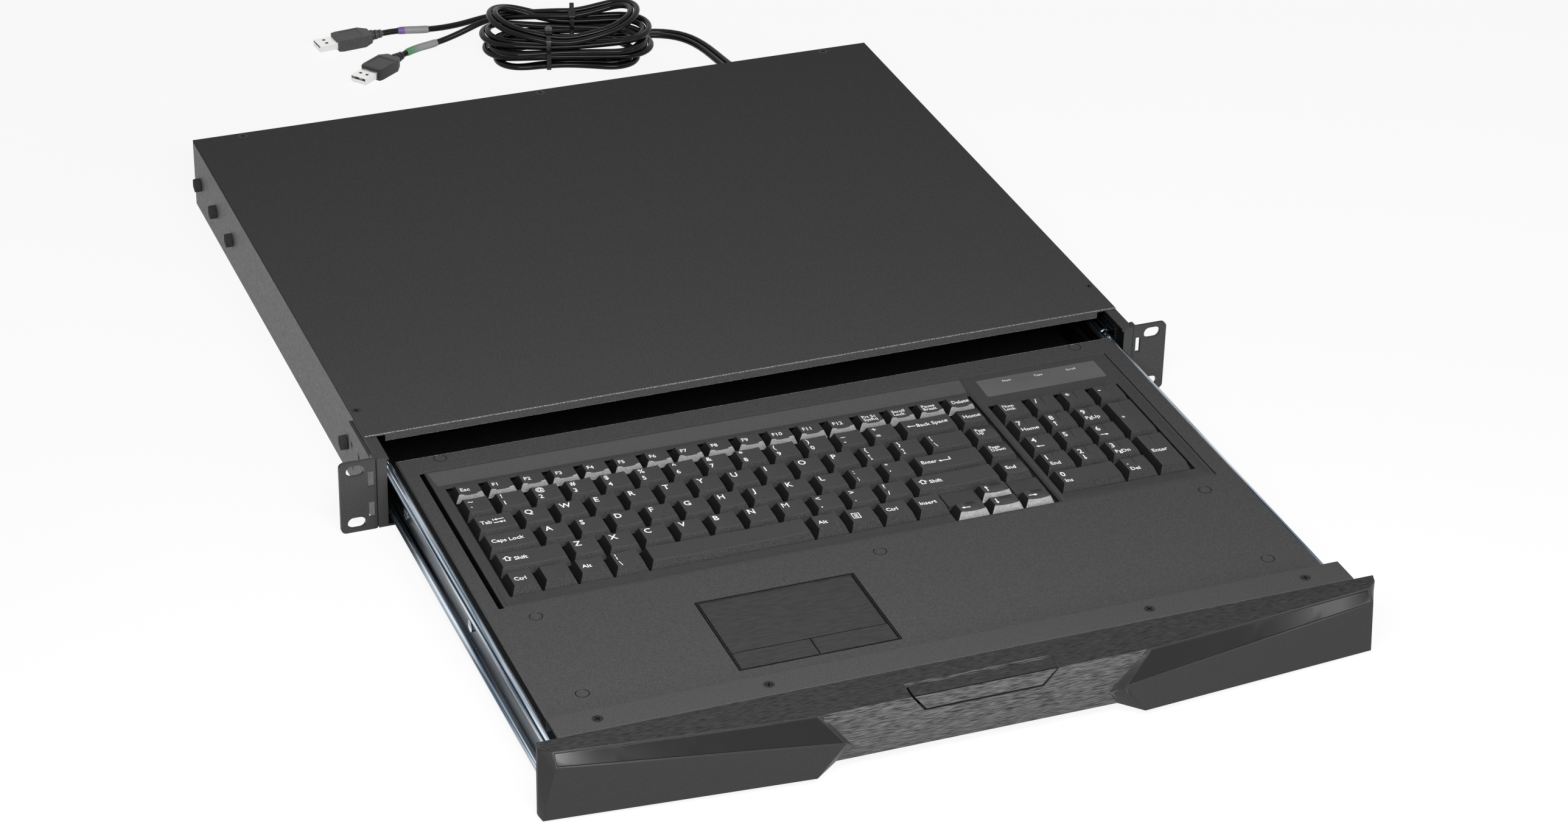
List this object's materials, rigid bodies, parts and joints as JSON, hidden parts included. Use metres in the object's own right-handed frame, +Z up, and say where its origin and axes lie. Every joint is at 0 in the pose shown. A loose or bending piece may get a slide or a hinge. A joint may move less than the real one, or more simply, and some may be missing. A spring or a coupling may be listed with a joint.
{
  "type": "rack keyboard tray",
  "caption": "Rack-mounted pull-out tray with keyboard, number pad and touchpad on ball slides, folded steel chassis, moulded front bezel with release lever, and two corded plugs.",
  "frame": {"origin": "centre of the four rack slots, on the front face of the ears", "axes": "+X to the right seen from the front, +Y to the rear into the rack, +Z up"},
  "size_m": [0.4826, 0.9096, 0.0434],
  "materials": {
    "powder_black": "fine-textured black powder coat",
    "screw_black": "black oxide",
    "zinc_steel": "bright zinc plating",
    "ball_steel": "polished",
    "bezel_black": "satin with hairline brushing",
    "inlay_black": "gloss",
    "keyboard_black": "satin",
    "key_black": "satin, finely textured",
    "led_grey": "smooth",
    "membrane_grey": "matte",
    "board_green": "satin",
    "touch_black": "fine matte",
    "cord_black": "smooth PVC sheen",
    "plug_black": "satin",
    "plug_metal": "bright plating",
    "sleeve_grey": "smooth"
  },
  "bodies": {
    "chassis": {"chassis_base": "powder_black", "top_cover": "powder_black", "cover_screws": "screw_black", "rack_ear_left": "powder_black", "rack_ear_right": "powder_black", "ear_screws": "screw_black", "slide_outer_left": "zinc_steel", "slide_outer_right": "zinc_steel", "slide_bolts": "screw_black", "cable_gland": "cord_black", "cord_lead_keyboard": "cord_black", "cord_lead_mouse": "cord_black", "cord_coil": "cord_black", "cord_tail_keyboard": "cord_black", "cord_tail_mouse": "cord_black", "plug_body_keyboard": "plug_black", "plug_body_mouse": "plug_black", "plug_shell_keyboard": "plug_metal", "plug_shell_mouse": "plug_metal", "marker_sleeves": "sleeve_grey", "cable_ties": "plug_black"},
    "ball_cages": {"ball_cage_left": "zinc_steel", "ball_cage_right": "zinc_steel", "bearing_balls_left": "ball_steel", "bearing_balls_right": "ball_steel"},
    "tray": {"tray_pan": "powder_black", "tray_panel": "powder_black", "panel_studs": "powder_black", "slide_inner_left": "zinc_steel", "slide_inner_right": "zinc_steel", "slide_screws": "zinc_steel", "keyboard_frame": "keyboard_black", "key_guide_plate": "keyboard_black", "key_membrane": "membrane_grey", "keyboard_backplate": "zinc_steel", "led_window": "led_grey", "touchpad_frame": "touch_black", "touchpad_surface": "touch_black", "touchpad_board": "board_green", "front_bracket": "powder_black", "bracket_screws": "screw_black", "front_bezel": "bezel_black", "bezel_inlay_left": "inlay_black", "bezel_inlay_right": "inlay_black", "lever_pin": "zinc_steel", "lever_spring": "zinc_steel"},
    "release_lever": {"release_lever": "bezel_black"},
    "touchpad_button_left": {"touchpad_button_left": "touch_black"},
    "touchpad_button_right": {"touchpad_button_right": "touch_black"},
    "keys_function_row": {"keys_function_row": "key_black"},
    "keys_number_row": {"keys_number_row": "key_black"},
    "keys_upper_row": {"keys_upper_row": "key_black"},
    "keys_home_row": {"keys_home_row": "key_black"},
    "keys_lower_row": {"keys_lower_row": "key_black"},
    "keys_bottom_row": {"keys_bottom_row": "key_black"},
    "key_space": {"key_space": "key_black"},
    "keys_navigation": {"keys_navigation": "key_black"},
    "keys_arrows": {"keys_arrows": "key_black"},
    "keys_number_pad": {"keys_number_pad": "key_black"}
  },
  "joints": [
    {"name": "tray_slide", "type": "slide", "parent": "chassis", "child": "tray", "axis": [0, -1, 0], "range_m": [-0.2775, 0]},
    {"name": "cage_slide", "type": "slide", "parent": "chassis", "child": "ball_cages", "axis": [0, -1, 0], "range_m": [-0.13875, 0]},
    {"name": "lever_turn", "type": "hinge", "parent": "tray", "child": "release_lever", "pos_m": [0, -0.2932, 0.0105], "axis": [-1, 0, 0], "range_deg": [0, 8], "stiffness_Nm_per_rad": 0.4, "springref_deg": -5.73},
    {"name": "touchpad_left_press", "type": "slide", "parent": "tray", "child": "touchpad_button_left", "axis": [0, 0, -1], "range_m": [0, 0.0007], "stiffness_N_per_m": 900, "springref_m": -0.0006},
    {"name": "touchpad_right_press", "type": "slide", "parent": "tray", "child": "touchpad_button_right", "axis": [0, 0, -1], "range_m": [0, 0.0007], "stiffness_N_per_m": 900, "springref_m": -0.0006},
    {"name": "keys_function_row_press", "type": "slide", "parent": "tray", "child": "keys_function_row", "axis": [0, 0, -1], "range_m": [0, 0.003], "stiffness_N_per_m": 300, "springref_m": -0.002},
    {"name": "keys_number_row_press", "type": "slide", "parent": "tray", "child": "keys_number_row", "axis": [0, 0, -1], "range_m": [0, 0.003], "stiffness_N_per_m": 300, "springref_m": -0.002},
    {"name": "keys_upper_row_press", "type": "slide", "parent": "tray", "child": "keys_upper_row", "axis": [0, 0, -1], "range_m": [0, 0.003], "stiffness_N_per_m": 300, "springref_m": -0.002},
    {"name": "keys_home_row_press", "type": "slide", "parent": "tray", "child": "keys_home_row", "axis": [0, 0, -1], "range_m": [0, 0.003], "stiffness_N_per_m": 300, "springref_m": -0.002},
    {"name": "keys_lower_row_press", "type": "slide", "parent": "tray", "child": "keys_lower_row", "axis": [0, 0, -1], "range_m": [0, 0.003], "stiffness_N_per_m": 300, "springref_m": -0.002},
    {"name": "keys_bottom_row_press", "type": "slide", "parent": "tray", "child": "keys_bottom_row", "axis": [0, 0, -1], "range_m": [0, 0.003], "stiffness_N_per_m": 300, "springref_m": -0.002},
    {"name": "key_space_press", "type": "slide", "parent": "tray", "child": "key_space", "axis": [0, 0, -1], "range_m": [0, 0.003], "stiffness_N_per_m": 300, "springref_m": -0.002},
    {"name": "keys_navigation_press", "type": "slide", "parent": "tray", "child": "keys_navigation", "axis": [0, 0, -1], "range_m": [0, 0.003], "stiffness_N_per_m": 300, "springref_m": -0.002},
    {"name": "keys_arrows_press", "type": "slide", "parent": "tray", "child": "keys_arrows", "axis": [0, 0, -1], "range_m": [0, 0.003], "stiffness_N_per_m": 300, "springref_m": -0.002},
    {"name": "keys_number_pad_press", "type": "slide", "parent": "tray", "child": "keys_number_pad", "axis": [0, 0, -1], "range_m": [0, 0.003], "stiffness_N_per_m": 300, "springref_m": -0.002}
  ],
  "couplings": [
    {"joint": "cage_slide", "follows": "tray_slide", "ratio": 0.5}
  ]
}
